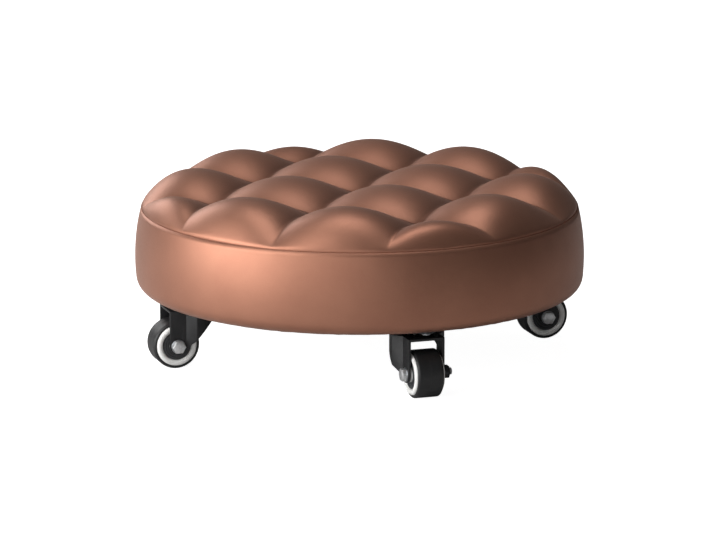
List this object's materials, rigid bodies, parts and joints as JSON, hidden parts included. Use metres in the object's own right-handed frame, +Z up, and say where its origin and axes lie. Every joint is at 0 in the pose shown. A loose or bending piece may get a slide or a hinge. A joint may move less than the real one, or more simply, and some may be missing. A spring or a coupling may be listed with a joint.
{
  "type": "rolling stool",
  "caption": "Low round rolling stool with a thick square-tufted upholstered seat on small swivel casters, for sitting and moving about close to the floor.",
  "frame": {"origin": "on the floor below the middle of the round seat, where the wheels stand", "axes": "+Z up; X and Y run along the sides of the square of casters, and the grooves of the tufting are turned 3.5 degrees from them, counterclockwise from above; the picture looks from between -Y and +X"},
  "size_m": [0.3806, 0.3804, 0.156],
  "materials": {
    "cover_leather": "satin coated fabric",
    "wadding_fibre": "loose fibre",
    "backing_fabric": "woven",
    "tie_cord": "twisted cord",
    "foam": "open-cell foam",
    "board_wood": "raw plywood",
    "dust_fabric": "spun-bonded",
    "staple_steel": "zinc plated",
    "plate_metal": "black, semi-gloss",
    "screw_steel": "zinc plated",
    "rivet_steel": "plain",
    "ball_steel": "ground",
    "fork_metal": "black, semi-gloss",
    "bolt_steel": "zinc plated",
    "nut_steel": "dark oxide",
    "washer_steel": "zinc plated",
    "wheel_core_plastic": "white, smooth",
    "tyre_rubber": "black, matt",
    "hub_cover_plastic": "dark grey"
  },
  "bodies": {
    "seat": {"tufted_cover": "cover_leather", "side_cover": "cover_leather", "wadding": "wadding_fibre", "backing_cloth": "backing_fabric", "tuft_ties": "tie_cord", "foam_pad": "foam", "seat_board": "board_wood", "dust_cover": "dust_fabric", "staples": "staple_steel", "plate_front_left": "plate_metal", "plate_screws_front_left": "screw_steel", "kingpin_front_left": "rivet_steel", "plate_front_right": "plate_metal", "plate_screws_front_right": "screw_steel", "kingpin_front_right": "rivet_steel", "plate_rear_right": "plate_metal", "plate_screws_rear_right": "screw_steel", "kingpin_rear_right": "rivet_steel", "plate_rear_left": "plate_metal", "plate_screws_rear_left": "screw_steel", "kingpin_rear_left": "rivet_steel"},
    "caster_front_left": {"swivel_balls_front_left": "ball_steel", "fork_front_left": "fork_metal", "axle_bolt_front_left": "bolt_steel", "axle_nut_front_left": "nut_steel", "axle_washers_front_left": "washer_steel", "axle_sleeve_front_left": "washer_steel"},
    "wheel_front_left": {"wheel_core_front_left": "wheel_core_plastic", "tyre_front_left": "tyre_rubber", "hub_covers_front_left": "hub_cover_plastic"},
    "caster_front_right": {"swivel_balls_front_right": "ball_steel", "fork_front_right": "fork_metal", "axle_bolt_front_right": "bolt_steel", "axle_nut_front_right": "nut_steel", "axle_washers_front_right": "washer_steel", "axle_sleeve_front_right": "washer_steel"},
    "wheel_front_right": {"wheel_core_front_right": "wheel_core_plastic", "tyre_front_right": "tyre_rubber", "hub_covers_front_right": "hub_cover_plastic"},
    "caster_rear_right": {"swivel_balls_rear_right": "ball_steel", "fork_rear_right": "fork_metal", "axle_bolt_rear_right": "bolt_steel", "axle_nut_rear_right": "nut_steel", "axle_washers_rear_right": "washer_steel", "axle_sleeve_rear_right": "washer_steel"},
    "wheel_rear_right": {"wheel_core_rear_right": "wheel_core_plastic", "tyre_rear_right": "tyre_rubber", "hub_covers_rear_right": "hub_cover_plastic"},
    "caster_rear_left": {"swivel_balls_rear_left": "ball_steel", "fork_rear_left": "fork_metal", "axle_bolt_rear_left": "bolt_steel", "axle_nut_rear_left": "nut_steel", "axle_washers_rear_left": "washer_steel", "axle_sleeve_rear_left": "washer_steel"},
    "wheel_rear_left": {"wheel_core_rear_left": "wheel_core_plastic", "tyre_rear_left": "tyre_rubber", "hub_covers_rear_left": "hub_cover_plastic"}
  },
  "joints": [
    {"name": "swivel_front_left", "type": "hinge", "parent": "seat", "child": "caster_front_left", "pos_m": [-0.105, -0.105, 0.0519], "axis": [0, 0, 1], "continuous": true},
    {"name": "roll_front_left", "type": "hinge", "parent": "caster_front_left", "child": "wheel_front_left", "pos_m": [-0.11702, -0.11702, 0.02], "axis": [0.7071, -0.7071, 0], "continuous": true},
    {"name": "swivel_front_right", "type": "hinge", "parent": "seat", "child": "caster_front_right", "pos_m": [0.105, -0.105, 0.0519], "axis": [0, 0, 1], "continuous": true},
    {"name": "roll_front_right", "type": "hinge", "parent": "caster_front_right", "child": "wheel_front_right", "pos_m": [0.11702, -0.11702, 0.02], "axis": [0.7071, 0.7071, 0], "continuous": true},
    {"name": "swivel_rear_right", "type": "hinge", "parent": "seat", "child": "caster_rear_right", "pos_m": [0.105, 0.105, 0.0519], "axis": [0, 0, 1], "continuous": true},
    {"name": "roll_rear_right", "type": "hinge", "parent": "caster_rear_right", "child": "wheel_rear_right", "pos_m": [0.11702, 0.11702, 0.02], "axis": [-0.7071, 0.7071, 0], "continuous": true},
    {"name": "swivel_rear_left", "type": "hinge", "parent": "seat", "child": "caster_rear_left", "pos_m": [-0.105, 0.105, 0.0519], "axis": [0, 0, 1], "continuous": true},
    {"name": "roll_rear_left", "type": "hinge", "parent": "caster_rear_left", "child": "wheel_rear_left", "pos_m": [-0.11702, 0.11702, 0.02], "axis": [-0.7071, -0.7071, 0], "continuous": true}
  ]
}
